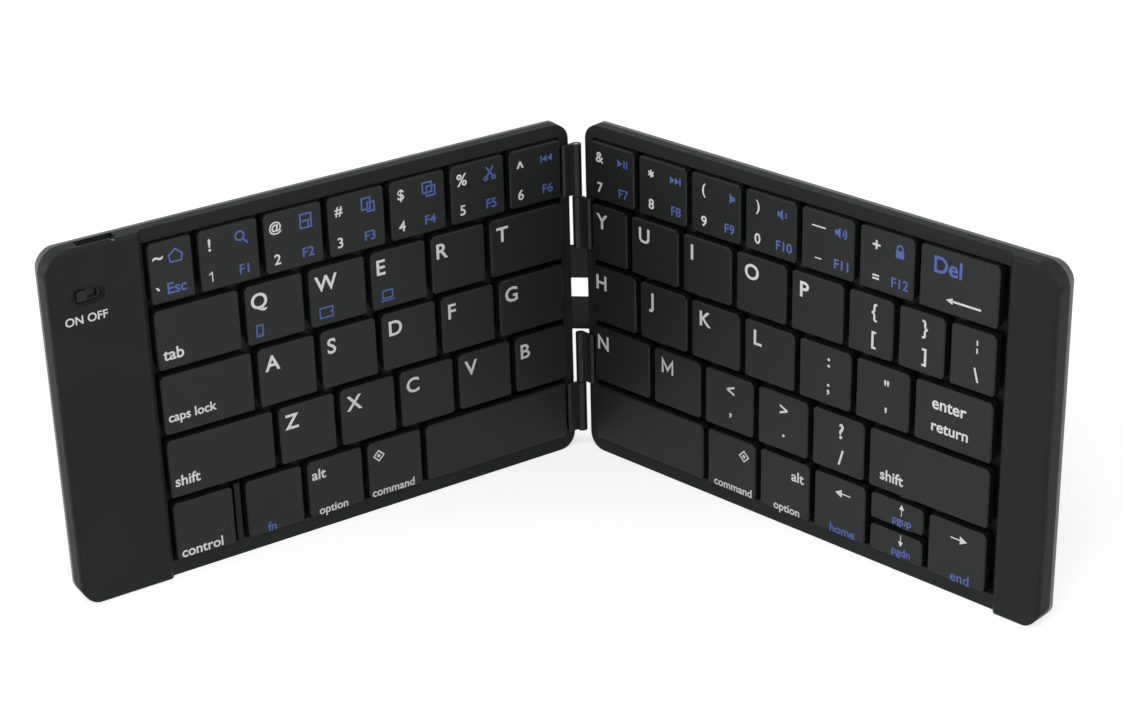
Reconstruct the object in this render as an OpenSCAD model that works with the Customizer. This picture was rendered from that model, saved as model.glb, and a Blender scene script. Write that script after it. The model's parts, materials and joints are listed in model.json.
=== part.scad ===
/* [Layout] */
// Angle between the two key faces as it stands, in degrees
opening_angle = 103.8; // [60:0.1:180]
// Width of one key, with its gap
key_pitch = 17.15; // [16.6:0.05:18]
// Height of one row, with its gap
row_pitch = 17.1; // [16.6:0.05:18]
// Gap between two key caps
key_gap = 1.65; // [1.2:0.05:2.2]
// Clearance round the block of keys
bay_margin = 0.35; // [0.3:0.05:0.6]
// Extra clearance beside the outermost keys of the left half
left_side_gap = 0.8; // [0.5:0.1:2]
// Extra clearance beside the outermost keys of the right half
right_side_gap = 1.9; // [0.5:0.1:3]

/* [Case] */
// Gap between the halves when the keyboard lies flat
hinge_gap = 2.3; // [2.1:0.1:3]
// Width of the flat end band of the right half
right_band_w = 12.3; // [10:0.1:20]
// Width of the rail in front of the keys
front_rail = 4.0; // [3.5:0.1:6]
// Width of the rail behind the keys
rear_rail = 3.45; // [3:0.05:6]
// Width of the rail beside the hinge
hinge_rail = 2.8; // [2.6:0.05:3.4]
// Thickness of one half, from its band to its back
case_t = 6.45; // [6.3:0.05:8]
// Height of the back cover's rim, floor included
cover_t = 2.0; // [1.9:0.05:2.4]
// Floor of the back cover
floor_t = 1.1; // [0.9:0.05:1.2]
// Side walls of frame and cover
wall_t = 1.4; // [1.2:0.05:1.6]
// Top skin of the end bands
skin_t = 1.2; // [1:0.05:1.4]
// Step from the bands down to the rails
rail_drop = 1.85; // [1.4:0.05:2]
// Width of the slope between band and rail
slope_w = 1.6; // [1:0.1:2.5]
// Corner radius at the outer ends
outer_r = 6; // [3:0.5:10]
// Corner radius beside the hinge
hinge_r = 4.5; // [2:0.5:6]
// Rounding of the long case edges
edge_r = 0.8; // [0.4:0.1:1]
// Distance of each band from the plane in which the halves close
face_clear = 0.15; // [0.15:0.05:0.3]

/* [Keys] */
// Depth of the key tops below the bands
key_drop = 0.6; // [0.4:0.05:0.8]
// Height of a key cap
cap_t = 2.3; // [2:0.05:2.4]
// Wall of a key cap
cap_wall = 0.9; // [0.7:0.05:1.1]
// Corner radius of a key cap
cap_r = 1.2; // [0.8:0.1:1.5]
// Bevel round the top of a key cap
cap_bevel = 0.3; // [0.2:0.05:0.4]
// Width of the frame's rib between the control and fn keys
rib_w = 1.5; // [1:0.1:1.6]
// Clearance on each side of that rib
rib_gap = 1.05; // [0.4:0.05:1.2]
// Thickness of the steel key plates
plate_t = 0.5; // [0.3:0.05:0.5]
// Thickness of the switch membranes
membrane_t = 0.3; // [0.2:0.05:0.3]
// Foot radius of a rubber dome
dome_r = 3.2; // [2.5:0.1:3.4]
// Top radius of a rubber dome
dome_top_r = 1.6; // [1.2:0.1:2]

/* [Hinge] */
// Outside radius of the knuckles
knuckle_r = 1.3; // [1.1:0.05:1.4]
// Radius of the hinge pins
pin_r = 0.55; // [0.5:0.05:0.6]
// Clearance of the pins in their bores
pin_clear = 0.05; // [0.02:0.01:0.08]
// Length of one knuckle
knuckle_len = 14.0; // [12:0.1:14.4]
// Gap between two knuckles
knuckle_gap = 0.3; // [0.2:0.05:0.6]
// Distance of the first knuckle from the case edge
knuckle_start = 5.5; // [5:0.1:6.5]
// Thickness of the hinge leaves
leaf_t = 0.9; // [0.7:0.05:1]
// Length of a leaf's foot inside the case
leaf_foot = 2.6; // [2:0.1:2.7]
// Width of a cable sleeve
strap_w = 9.2; // [6:0.1:9.3]
// Clear height of the window between the cable sleeves
strap_window = 5.4; // [5:0.1:7]
// Thickness of a cable sleeve
strap_t = 0.9; // [0.6:0.1:1.2]
// Depth of the cable sleeves below the closing plane
strap_depth = 2.5; // [2.3:0.05:2.8]

/* [Electronics] */
// Width of the charging socket's shell
port_w = 7.5; // [7.3:0.1:8]
// Height of the charging socket's shell
port_t = 2.6; // [2.4:0.1:2.8]
// Length of the charging socket's shell
port_len = 5.2; // [5:0.1:5.6]
// Distance of the charging socket from the outer end
port_inset = 13.85; // [12:0.05:15]
// Width of the opening in front of the charging socket
mouth_w = 9.5; // [8.5:0.1:11]
// Radius of the status light
light_r = 0.45; // [0.3:0.05:0.5]
// Length of the power switch's recess
switch_len = 7.6; // [7:0.1:9]
// Width of the power switch's recess
switch_w = 3.6; // [3.2:0.1:4.4]
// Travel of the power switch
switch_travel = 2.6; // [2:0.1:2.6]
// Distance of the power switch from the outer end
switch_inset = 9.7; // [8:0.1:12]
// Distance of the power switch from the rear edge
switch_from_rear = 11.9; // [10.5:0.1:14]
// Thickness of the circuit board
board_t = 0.8; // [0.6:0.1:1]
// Length of the circuit board
board_len = 30; // [26:1:34]
// Length of the battery
battery_len = 46; // [30:1:48]
// Thickness of the battery
battery_t = 3.6; // [2.5:0.1:3.8]
// Length of one rubber foot
foot_len = 22; // [10:1:30]
// Width of one rubber foot
foot_w = 4; // [3:0.5:6]
// Thickness of the rubber feet
foot_t = 0.5; // [0.3:0.1:1]

/* [Hidden] */
$fn = 48;
// Clearances: round parts that move, snug between parts that stay, and overlap of parts of one solid
gap = 0.3;
fit = 0.1;
eps = 0.01;
half_angle = opening_angle / 2;
cap_h = row_pitch - key_gap;
rows = 5;
hinge_edge = hinge_gap / 2;
bay_in = hinge_edge + hinge_rail;
key_in = bay_in + bay_margin;
bay_front = front_rail;
bay_rear = bay_front + 2 * bay_margin + rows * row_pitch - key_gap;
case_h = bay_rear + rear_rail;

// Widths of the keys in units of the key pitch, from the hinge outwards, rear row first
left_rows = [
    [0.98, 1, 1, 1, 1, 1, 0.75],
    [1.35, 1, 1, 1, 1, 1.38],
    [1.23, 1, 1, 1, 1, 1.5],
    [0.98, 1, 1, 1, 1, 1.75],
    [2.59, 1, 1, 1, 1.14]
];
right_rows = [
    [0.94, 1, 1, 1, 1, 1, 1.36],
    [0.78, 1, 1, 1, 1, 0.85, 0.85, 0.82],
    [0.94, 1, 1, 1, 1, 1, 1.36],
    [1.2, 1, 1, 1, 1, 2.1],
    [2.25, 1, 1, 1, 1, 1.05]
];
last = rows - 1;
control_place = len(left_rows[last]) - 1;
fn_place = control_place - 1;
low_arrows_place = len(right_rows[last]) - 2;
left_bay = key_x1(left_rows[0], len(left_rows[0]) - 1) + left_side_gap;
right_bay = key_x1(right_rows[0], len(right_rows[0]) - 1) + right_side_gap;
outer_edge = right_bay + slope_w + right_band_w;
edge_cut = (1 - cos(45)) * edge_r;
half_cap = (cap_h - key_gap) / 2;
low_arrow_x0 = key_x0(right_rows[last], low_arrows_place);
low_arrow_x1 = key_x1(right_rows[last], low_arrows_place);
control_in = key_x1(left_rows[last], fn_place) + rib_w + 2 * rib_gap;

// Depths below the closing plane
rail_d = face_clear + rail_drop;
back_d = face_clear + case_t;
split_d = back_d - cover_t;
floor_d = back_d - floor_t;
key_d = face_clear + key_drop;
plate_d = floor_d - plate_t;
membrane_d = plate_d - membrane_t;
dome_top_d = key_d + cap_wall + gap;
arm_d = face_clear + fit;
foot_d = floor_d - leaf_t;

// Heights of the hinge pieces
low_left_z = knuckle_start;
low_right_z = low_left_z + knuckle_len + knuckle_gap;
high_left_z = case_h - knuckle_start - knuckle_len;
high_right_z = high_left_z - knuckle_gap - knuckle_len;
left_knuckles = [low_left_z, high_left_z];
right_knuckles = [low_right_z, high_right_z];
window_z = case_h / 2;
strap_low_z = window_z - strap_window / 2 - strap_w;
strap_high_z = window_z + strap_window / 2;
straps = [strap_low_z, strap_high_z];
arm_end = bay_in - fit;
arm_inset = 1;
leaf_edge = 0.2;
leaf_bend = 0.5;
middle_overlap = 0.05;

// Electronics in the left band
port_cover = 0.3;
port_recess = 1;
port_lip = 0.3;
tongue_w = 3.8;
tongue_t = 0.55;
tongue_recess = 0.7;
light_from_end = 1.1;
light_len = 2;
recess_t = 0.9;
recess_rim = 0.5;
rim_t = 0.35;
boss_t = 0.6;
boss_margin = 1.2;
knob_w = 2.6;
knob_r = 0.65;
knob_stem = 2;
stem_t = 1.3;
skirt_t = 0.4;
rib_t = 0.3;
rib_step = 0.8;
switch_body_l = 7.2;
switch_body_w = 3.6;
switch_body_t = 1.6;
chip_w = 7;
chip_t = 1;
chip_inset = 3;
chip_from_rear = 22;
battery_r = 1.2;
post_r = 1.2;
post_inset = 2.5;
foot_inset = 10;
foot_from_edge = 6;
port_u = outer_edge - port_inset;
port_d = split_d - port_t - port_cover;
port_y = case_h - port_recess;
board_d = port_d + port_t;
switch_body_d = board_d - switch_body_t;
switch_u = outer_edge - switch_inset;
switch_z = case_h - switch_from_rear;
recess_d = face_clear + recess_t;
boss_d = recess_d + boss_t;
skirt_d = boss_d + fit;
light_u = port_u - mouth_w / 2 + light_from_end;
light_d = (face_clear + port_d - fit) / 2;

// Distance of the hinge axis from the middle of the outline, under which the origin lies
front_reach = max(knuckle_r, -behind(outer_edge - edge_cut, face_clear + edge_cut));
rear_reach = max(
    behind(hinge_edge, back_d - edge_r),
    behind(hinge_edge + edge_cut, back_d - edge_cut),
    behind(hinge_edge + edge_r, back_d),
    behind(bay_in + foot_inset, back_d + foot_t)
);
axis_y = (front_reach - rear_reach) / 2;

// Sum of the first n widths of a row
function run(widths, n) = n == 0 ? 0 : widths[n - 1] + run(widths, n - 1);
function key_x0(widths, k) = key_in + run(widths, k) * key_pitch;
function key_x1(widths, k) = key_in + run(widths, k + 1) * key_pitch - key_gap;
function row_y0(row) = bay_front + bay_margin + (last - row) * row_pitch;

// How far a point of a half lies behind the hinge axis, from its x and its depth
function behind(x, depth) = sin(half_angle) * depth - cos(half_angle) * x;
// The point of a half that lies y behind the hinge axis, just past the middle of the keyboard
function at_middle(y) = [
    -cos(half_angle) * y - sin(half_angle) * middle_overlap,
    sin(half_angle) * y - cos(half_angle) * middle_overlap
];

// Each half is drawn flat: x runs outwards from the hinge axis, y runs from the front edge
// to the rear edge, and z is the depth below the plane in which the halves close.
module place_left() {
    translate([0, axis_y, 0]) rotate([0, 0, 270 - half_angle]) rotate([90, 0, 0]) children();
}

module place_right() {
    mirror([1, 0, 0]) place_left() children();
}

// Rectangle with one radius for its corners at x0 and another for those at x1
module plan(x0, x1, y0, y1, r0, r1) {
    translate([x0 + r0, y0]) square([x1 - x0 - r0 - r1, y1 - y0]);
    plan_end(x0, y0, y1, r0, 1);
    plan_end(x1, y0, y1, r1, -1);
}

// Rounded strip along one end of the rectangle, on the side that side points to
module plan_end(x, y0, y1, r, side) {
    if (r > 0) {
        for (y = [y0 + r, y1 - r]) translate([x + side * r, y]) circle(r);
        if (y1 - y0 > 2 * r) translate([side > 0 ? x : x - r, y0 + r]) square([r, y1 - y0 - 2 * r]);
    }
}

module slab(d0, d1, x0, x1, y0, y1, r0, r1) {
    translate([0, 0, d0]) linear_extrude(d1 - d0) plan(x0, x1, y0, y1, r0, r1);
}

module block(x0, x1, y0, y1, d0, d1) {
    translate([x0, y0, d0]) cube([x1 - x0, y1 - y0, d1 - d0]);
}

// Block whose middle is at x and y, l long across the half and w wide along its height
module centred(x, y, l, w, d0, d1) {
    block(x - l / 2, x + l / 2, y - w / 2, y + w / 2, d0, d1);
}

// A section drawn over width and depth, carried from y0 to y1
module along_height(y0, y1) {
    translate([0, y1, 0]) rotate([90, 0, 0]) linear_extrude(y1 - y0) children();
}

// A section drawn over height and depth, carried from x0 to x1
module along_width(x0, x1) {
    translate([x0, 0, 0]) rotate([90, 0, 90]) linear_extrude(x1 - x0) children();
}

// Section from x0 to x1 whose corners at depth edge are bevelled and whose corners at depth flat are square
function bevelled(x0, x1, edge, flat, bevel) = let (step = sign(flat - edge) * bevel) [
    [x0, flat],
    [x0, edge + step],
    [x0 + bevel, edge],
    [x1 - bevel, edge],
    [x1, edge + step],
    [x1, flat]
];

// The same with the case's rounded edges in place of the bevels
function rounded(x0, x1, edge, flat) = let (way = sign(flat - edge)) [
    [x0, flat],
    [x0, edge + way * edge_r],
    [x0 + edge_cut, edge + way * edge_cut],
    [x0 + edge_r, edge],
    [x1 - edge_r, edge],
    [x1 - edge_cut, edge + way * edge_cut],
    [x1, edge + way * edge_r],
    [x1, flat]
];

// Section of a frame over its width: rail, slope, band and rounded outer edge
function band_and_rail(band_in) = [
    [hinge_edge, split_d],
    [hinge_edge, rail_d],
    [band_in - slope_w, rail_d],
    [band_in, face_clear],
    [outer_edge - edge_r, face_clear],
    [outer_edge - edge_cut, face_clear + edge_cut],
    [outer_edge, face_clear + edge_r],
    [outer_edge, split_d]
];

// Room for the arms of the hinge leaf
module arm_slots(knuckles, x0, x1, d0, d1) {
    for (z = knuckles)
        block(x0, x1, z + arm_inset - fit, z + knuckle_len - arm_inset + fit, d0, d1);
}

// Room for the cable sleeves in the hinge-side wall
module strap_slots() {
    for (z = straps)
        block(0, bay_in + eps, z - fit, z + strap_w + fit, strap_depth - fit, strap_depth + strap_t + fit);
}

module half_frame(bay_out, knuckles) {
    band_in = bay_out + slope_w;
    difference() {
        intersection() {
            slab(face_clear, split_d, hinge_edge, outer_edge, 0, case_h, hinge_r, outer_r);
            along_height(0, case_h) polygon(band_and_rail(band_in));
            along_width(0, outer_edge) polygon(rounded(0, case_h, face_clear, split_d));
        }
        block(bay_in, bay_out, bay_front, bay_rear, 0, back_d);
        slab(face_clear + skin_t, back_d, band_in, outer_edge - wall_t, wall_t, case_h - wall_t,
            0, outer_r - wall_t);
        arm_slots(knuckles, hinge_edge + leaf_edge, bay_in + eps, 0, floor_d);
        strap_slots();
    }
}

module half_cover(knuckles) {
    difference() {
        intersection() {
            slab(split_d, back_d, hinge_edge, outer_edge, 0, case_h, hinge_r, outer_r);
            along_height(0, case_h) polygon(rounded(hinge_edge, outer_edge, back_d, split_d));
            along_width(0, outer_edge) polygon(rounded(0, case_h, back_d, split_d));
        }
        slab(split_d - eps, floor_d, hinge_edge + wall_t, outer_edge - wall_t, wall_t, case_h - wall_t,
            hinge_r - wall_t, outer_r - wall_t);
        arm_slots(knuckles, hinge_edge + leaf_edge, bay_in + wall_t, split_d - eps, floor_d);
    }
}

// A sheet under the keys, notched for the feet of the hinge leaf
module sheet(d0, d1, bay_out, knuckles) {
    difference() {
        slab(d0, d1, hinge_edge + wall_t + fit, bay_out + slope_w, wall_t + fit, case_h - wall_t - fit,
            hinge_r - wall_t, 0);
        arm_slots(knuckles, 0, arm_end + leaf_foot + fit, d0 - eps, d1 + eps);
    }
}

// One key cap: rounded plan, bevelled top edges, hollow underside
module key_cap(x0, x1, y0, y1) {
    d1 = key_d + cap_t;
    difference() {
        intersection() {
            slab(key_d, d1, x0, x1, y0, y1, cap_r, cap_r);
            along_height(y0, y1) polygon(bevelled(x0, x1, key_d, d1, cap_bevel));
            along_width(x0, x1) polygon(bevelled(y0, y1, key_d, d1, cap_bevel));
        }
        block(x0 + cap_wall, x1 - cap_wall, y0 + cap_wall, y1 - cap_wall, key_d + cap_wall, d1 + eps);
    }
}

module key_at(widths, row, k) {
    key_cap(key_x0(widths[row], k), key_x1(widths[row], k), row_y0(row), row_y0(row) + cap_h);
}

module left_key(row, k) {
    place_left() key_at(left_rows, row, k);
}

module right_key(row, k) {
    place_right() key_at(right_rows, row, k);
}

module left_key_run(row, from, to) {
    for (k = [from:to]) left_key(row, k);
}

module right_key_run(row, from, to) {
    for (k = [from:to]) right_key(row, k);
}

module control_key() {
    y0 = row_y0(last);
    place_left() key_cap(control_in, key_x1(left_rows[last], control_place), y0, y0 + cap_h);
}

// One of the two low arrow keys that share a place
module half_key(upper) {
    y0 = row_y0(last) + (upper ? half_cap + key_gap : 0);
    place_right() key_cap(low_arrow_x0, low_arrow_x1, y0, y0 + half_cap);
}

// Rubber domes under the middle of each key
module dome(x, y) {
    translate([x, y, dome_top_d]) cylinder(h = membrane_d - dome_top_d, r1 = dome_top_r, r2 = dome_r);
}

module dome_under(x0, x1, row) {
    dome((x0 + x1) / 2, row_y0(row) + cap_h / 2);
}

module dome_row(widths, row, from, to) {
    for (k = [from:to]) dome_under(key_x0(widths[row], k), key_x1(widths[row], k), row);
}

// Hinge leaf: knuckles on the axis, arms over the hinge-side wall and feet on the cover's floor
module hinge_leaf(knuckles) {
    for (z = knuckles) {
        difference() {
            union() {
                translate([0, z, 0]) rotate([-90, 0, 0]) cylinder(h = knuckle_len, r = knuckle_r);
                along_height(z, z + knuckle_len) polygon([
                    [0, arm_d],
                    [arm_end - leaf_bend, arm_d],
                    [arm_end, arm_d + leaf_bend],
                    [arm_end, arm_d + leaf_t],
                    [0, arm_d + leaf_t]
                ]);
                block(arm_end - leaf_t, arm_end, z + arm_inset, z + knuckle_len - arm_inset,
                    arm_d + leaf_bend, floor_d);
                block(arm_end - leaf_t, arm_end + leaf_foot, z + arm_inset, z + knuckle_len - arm_inset,
                    foot_d, floor_d);
            }
            translate([0, z - eps, 0]) rotate([-90, 0, 0])
                cylinder(h = knuckle_len + 2 * eps, r = pin_r + pin_clear);
        }
    }
}

// Pin through the two knuckles that start at height z
module hinge_pin(z) {
    translate([0, axis_y, z]) cylinder(h = 2 * knuckle_len + knuckle_gap, r = pin_r);
}

// Half of a cable sleeve: out of the case, then straight across behind the hinge axis
module strap_leg(z) {
    front_y = behind(hinge_edge, strap_depth);
    bend = strap_t * tan((90 - half_angle) / 2);
    along_height(z, z + strap_w) polygon([
        [bay_in - 2 * fit, strap_depth],
        [hinge_edge, strap_depth],
        at_middle(front_y),
        at_middle(front_y + strap_t),
        [hinge_edge - bend, strap_depth + strap_t],
        [bay_in - 2 * fit, strap_depth + strap_t]
    ]);
}

module strap(z) {
    place_left() strap_leg(z);
    place_right() strap_leg(z);
}

module feet() {
    x0 = bay_in + foot_inset;
    x1 = outer_edge - foot_inset - foot_len;
    for (x = [x0, x1], y = [foot_from_edge, case_h - foot_from_edge - foot_w])
        slab(back_d, back_d + foot_t, x, x + foot_len, y, y + foot_w, foot_w / 2, foot_w / 2);
}

// Left half
module left_frame() {
    color("#2b2d2d") place_left() difference() {
        union() {
            half_frame(left_bay, left_knuckles);
            control_rib();
            switch_boss();
        }
        switch_cuts();
        block(port_u - mouth_w / 2, port_u + mouth_w / 2, case_h - wall_t - eps, case_h + eps,
            port_d - fit, board_d + fit);
        translate([light_u, case_h + eps, light_d]) rotate([90, 0, 0])
            cylinder(h = edge_cut + light_len + fit, r = light_r + fit);
    }
}

// Rib of the frame between the control and fn keys
module control_rib() {
    x = key_x1(left_rows[last], fn_place) + rib_gap;
    block(x, x + rib_w, bay_front - eps, row_y0(last) + cap_h, rail_d, split_d);
}

// Thicker skin under the power switch
module switch_boss() {
    switch_oval(face_clear + skin_t - eps, boss_d, boss_margin);
}

// Oval round the switch, wider than its recess by a margin all round
module switch_oval(d0, d1, margin) {
    r = switch_w / 2 + margin;
    x = switch_len / 2 + margin;
    slab(d0, d1, switch_u - x, switch_u + x, switch_z - r, switch_z + r, r, r);
}

module switch_cuts() {
    switch_oval(0, face_clear + rim_t, recess_rim);
    switch_oval(0, recess_d, 0);
    centred(switch_u, switch_z, knob_stem + switch_travel + 2 * gap, stem_t + 2 * gap, 0, split_d);
}

module left_cover() {
    color("#55585a") place_left() half_cover(left_knuckles);
}

module left_key_plate() {
    color("#8f9294") place_left() sheet(plate_d, floor_d, left_bay, left_knuckles);
}

module left_membrane() {
    color("#3a3f44") place_left() sheet(membrane_d, plate_d, left_bay, left_knuckles);
}

module left_domes() {
    color("#c9ccce") place_left() {
        for (row = [0:last - 1]) dome_row(left_rows, row, 0, len(left_rows[row]) - 1);
        dome_row(left_rows, last, 0, fn_place);
        dome_under(control_in, key_x1(left_rows[last], control_place), last);
    }
}

module left_hinge_leaf() {
    color("#3a3c3d") place_left() hinge_leaf(left_knuckles);
}

module left_feet() {
    color("#1b1b1b") place_left() feet();
}

module battery() {
    x0 = left_bay + slope_w + gap;
    x1 = outer_edge - wall_t - gap;
    color("#b9bcc0") place_left()
        slab(floor_d - battery_t, floor_d, x0, x1, outer_r, outer_r + battery_len, battery_r, battery_r);
}

// Circuit board with the body of the slide switch and the controller chip
module circuit_board() {
    x0 = left_bay + slope_w + gap;
    x1 = outer_edge - wall_t - gap;
    y1 = case_h - wall_t - gap;
    color("#1d5a35") place_left() {
        slab(board_d, board_d + board_t, x0, x1, y1 - board_len, y1, 0, outer_r - wall_t);
        centred(switch_u, switch_z, switch_body_l, switch_body_w, switch_body_d, board_d);
        block(x0 + chip_inset, x0 + chip_inset + chip_w, y1 - chip_from_rear, y1 - chip_from_rear + chip_w,
            board_d - chip_t, board_d);
        for (y = [y1 - board_len + post_inset, y1 - outer_r - post_inset])
            translate([x1 - post_inset, y, board_d]) cylinder(h = floor_d - board_d, r = post_r);
    }
}

// Metal shell of the charging socket, with its tongue
module charging_port() {
    mouth_x = port_w / 2 - port_lip;
    tongue_d = port_d + (port_t - tongue_t) / 2;
    color("#a9adb0") place_left() difference() {
        block(port_u - port_w / 2, port_u + port_w / 2, port_y - port_len, port_y, port_d, board_d);
        difference() {
            block(port_u - mouth_x, port_u + mouth_x, port_y - port_len + 2 * port_lip, case_h,
                port_d + port_lip, board_d - port_lip);
            block(port_u - tongue_w / 2, port_u + tongue_w / 2, port_y - port_len, port_y - tongue_recess,
                tongue_d, tongue_d + tongue_t);
        }
    }
}

// Knob at its outer, ON, position
module power_switch() {
    u = switch_u + switch_travel / 2;
    knob_d = face_clear + rib_t / 2;
    half = knob_w / 2;
    color("#1f2121") place_left() {
        slab(knob_d, recess_d - fit, u - half, u + half, switch_z - half, switch_z + half, knob_r, knob_r);
        centred(u, switch_z, knob_stem, stem_t, recess_d - gap, switch_body_d - fit);
        centred(u, switch_z, knob_w + 2 * switch_travel, knob_w, skirt_d, skirt_d + skirt_t);
        for (x = [-rib_step, 0, rib_step])
            centred(u + x, switch_z, rib_t, knob_w - 2 * gap, knob_d - fit, knob_d + fit);
    }
}

module status_light() {
    color("#e8f0f4") place_left() translate([light_u, case_h - edge_cut, light_d]) rotate([90, 0, 0])
        cylinder(h = light_len, r = light_r);
}

// Hinge
module right_hinge_leaf() {
    color("#3a3c3d") place_right() hinge_leaf(right_knuckles);
}

module upper_hinge_pin() {
    color("#8a8d90") hinge_pin(high_right_z);
}

module lower_hinge_pin() {
    color("#8a8d90") hinge_pin(low_left_z);
}

module upper_strap() {
    color("#242626") strap(strap_high_z);
}

module lower_strap() {
    color("#242626") strap(strap_low_z);
}

// Right half
module right_frame() {
    color("#2b2d2d") place_right() half_frame(right_bay, right_knuckles);
}

module right_cover() {
    color("#55585a") place_right() half_cover(right_knuckles);
}

module right_key_plate() {
    color("#8f9294") place_right() sheet(plate_d, floor_d, right_bay, right_knuckles);
}

module right_membrane() {
    color("#3a3f44") place_right() sheet(membrane_d, plate_d, right_bay, right_knuckles);
}

module right_domes() {
    color("#c9ccce") place_right() {
        for (row = [0:last - 1]) dome_row(right_rows, row, 0, len(right_rows[row]) - 1);
        dome_row(right_rows, last, 0, low_arrows_place - 1);
        dome_row(right_rows, last, low_arrows_place + 1, low_arrows_place + 1);
        for (y = [half_cap / 2, cap_h - half_cap / 2])
            dome((low_arrow_x0 + low_arrow_x1) / 2, row_y0(last) + y);
    }
}

module right_feet() {
    color("#1b1b1b") place_right() feet();
}

module key_color() {
    color("#2f3131") children();
}

module keys_1_to_6() {
    key_color() left_key_run(0, 0, 5);
}

module key_escape() {
    key_color() left_key(0, 6);
}

module keys_q_to_t() {
    key_color() left_key_run(1, 0, 4);
}

module key_tab() {
    key_color() left_key(1, 5);
}

module key_a() {
    key_color() left_key(2, 4);
}

module key_s() {
    key_color() left_key(2, 3);
}

module key_d() {
    key_color() left_key(2, 2);
}

module key_f() {
    key_color() left_key(2, 1);
}

module key_g() {
    key_color() left_key(2, 0);
}

module key_caps_lock() {
    key_color() left_key(2, 5);
}

module keys_z_to_b() {
    key_color() left_key_run(3, 0, 4);
}

module key_left_shift() {
    key_color() left_key(3, 5);
}

module key_left_space() {
    key_color() left_key(4, 0);
}

module key_left_command() {
    key_color() left_key(4, 1);
}

module key_left_alt() {
    key_color() left_key(4, 2);
}

module key_fn() {
    key_color() left_key(4, 3);
}

module key_control() {
    key_color() control_key();
}

module keys_7_to_equals() {
    key_color() right_key_run(0, 0, 5);
}

module key_delete() {
    key_color() right_key(0, 6);
}

module keys_y_to_bracket() {
    key_color() right_key_run(1, 0, 6);
}

module key_backslash() {
    key_color() right_key(1, 7);
}

module key_h() {
    key_color() right_key(2, 0);
}

module key_j() {
    key_color() right_key(2, 1);
}

module key_k() {
    key_color() right_key(2, 2);
}

module key_l() {
    key_color() right_key(2, 3);
}

module key_semicolon() {
    key_color() right_key(2, 4);
}

module key_quote() {
    key_color() right_key(2, 5);
}

module key_enter() {
    key_color() right_key(2, 6);
}

module keys_n_to_slash() {
    key_color() right_key_run(3, 0, 4);
}

module key_right_shift() {
    key_color() right_key(3, 5);
}

module key_right_space() {
    key_color() right_key(4, 0);
}

module key_right_command() {
    key_color() right_key(4, 1);
}

module key_right_alt() {
    key_color() right_key(4, 2);
}

module key_arrow_left() {
    key_color() right_key(4, 3);
}

module key_arrow_up() {
    key_color() half_key(true);
}

module key_arrow_down() {
    key_color() half_key(false);
}

module key_arrow_right() {
    key_color() right_key(4, 5);
}

left_frame();
left_cover();
left_key_plate();
left_membrane();
left_domes();
left_hinge_leaf();
left_feet();
battery();
circuit_board();
charging_port();
power_switch();
status_light();
upper_hinge_pin();
lower_hinge_pin();
upper_strap();
lower_strap();
right_frame();
right_cover();
right_key_plate();
right_membrane();
right_domes();
right_hinge_leaf();
right_feet();
keys_1_to_6();
key_escape();
keys_q_to_t();
key_tab();
key_a();
key_s();
key_d();
key_f();
key_g();
key_caps_lock();
keys_z_to_b();
key_left_shift();
key_left_space();
key_left_command();
key_left_alt();
key_fn();
key_control();
keys_7_to_equals();
key_delete();
keys_y_to_bracket();
key_backslash();
key_h();
key_j();
key_k();
key_l();
key_semicolon();
key_quote();
key_enter();
keys_n_to_slash();
key_right_shift();
key_right_space();
key_right_command();
key_right_alt();
key_arrow_left();
key_arrow_up();
key_arrow_down();
key_arrow_right();
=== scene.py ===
import math
from collections import defaultdict, namedtuple

import bmesh
import bpy
from mathutils import Matrix, Vector
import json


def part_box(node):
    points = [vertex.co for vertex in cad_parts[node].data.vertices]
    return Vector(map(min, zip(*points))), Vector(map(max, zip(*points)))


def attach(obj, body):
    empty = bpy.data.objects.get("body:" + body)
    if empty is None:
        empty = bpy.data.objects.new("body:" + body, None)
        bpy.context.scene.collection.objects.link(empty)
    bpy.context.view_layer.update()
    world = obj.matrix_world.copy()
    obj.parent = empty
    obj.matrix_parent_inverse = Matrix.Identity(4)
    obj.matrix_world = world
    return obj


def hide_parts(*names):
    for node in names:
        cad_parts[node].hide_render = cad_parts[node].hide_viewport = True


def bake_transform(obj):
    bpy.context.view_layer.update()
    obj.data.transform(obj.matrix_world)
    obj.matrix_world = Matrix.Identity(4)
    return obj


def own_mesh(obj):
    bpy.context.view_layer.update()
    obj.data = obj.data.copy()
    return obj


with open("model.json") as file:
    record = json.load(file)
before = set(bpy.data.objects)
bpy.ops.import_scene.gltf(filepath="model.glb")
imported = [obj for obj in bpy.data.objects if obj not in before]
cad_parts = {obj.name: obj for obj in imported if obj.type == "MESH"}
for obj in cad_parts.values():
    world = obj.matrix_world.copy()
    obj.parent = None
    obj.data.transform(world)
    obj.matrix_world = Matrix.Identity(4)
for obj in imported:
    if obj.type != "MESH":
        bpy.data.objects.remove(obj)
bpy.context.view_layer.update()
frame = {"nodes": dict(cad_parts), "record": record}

# ---------------------------------------------------------------- layout, in millimetres
MM = 0.001
OPENING_ANGLE = 103.8
KEY_PITCH, ROW_PITCH, KEY_GAP = 17.15, 17.1, 1.65
CAP_HEIGHT = ROW_PITCH - KEY_GAP
HALF_CAP = (CAP_HEIGHT - KEY_GAP) / 2
KEYS_START = 4.3            # from the hinge axis to the first key
FIRST_ROW = 4.35            # from the front edge to the lowest row
LAST_ROW = 4                # the number of the lowest row, where the rear one is 0
BAND_DEPTH = 0.15           # from the plane in which the halves close, down to the flat bands
KEY_DEPTH = 0.75            # the same, down to the key tops
CASE_BACK = 6.6             # the same, down to the back of the case
CASE_HEIGHT = 92            # from the front edge to the rear edge
OUTER_EDGE = 143.645        # from the hinge axis to the end face
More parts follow.
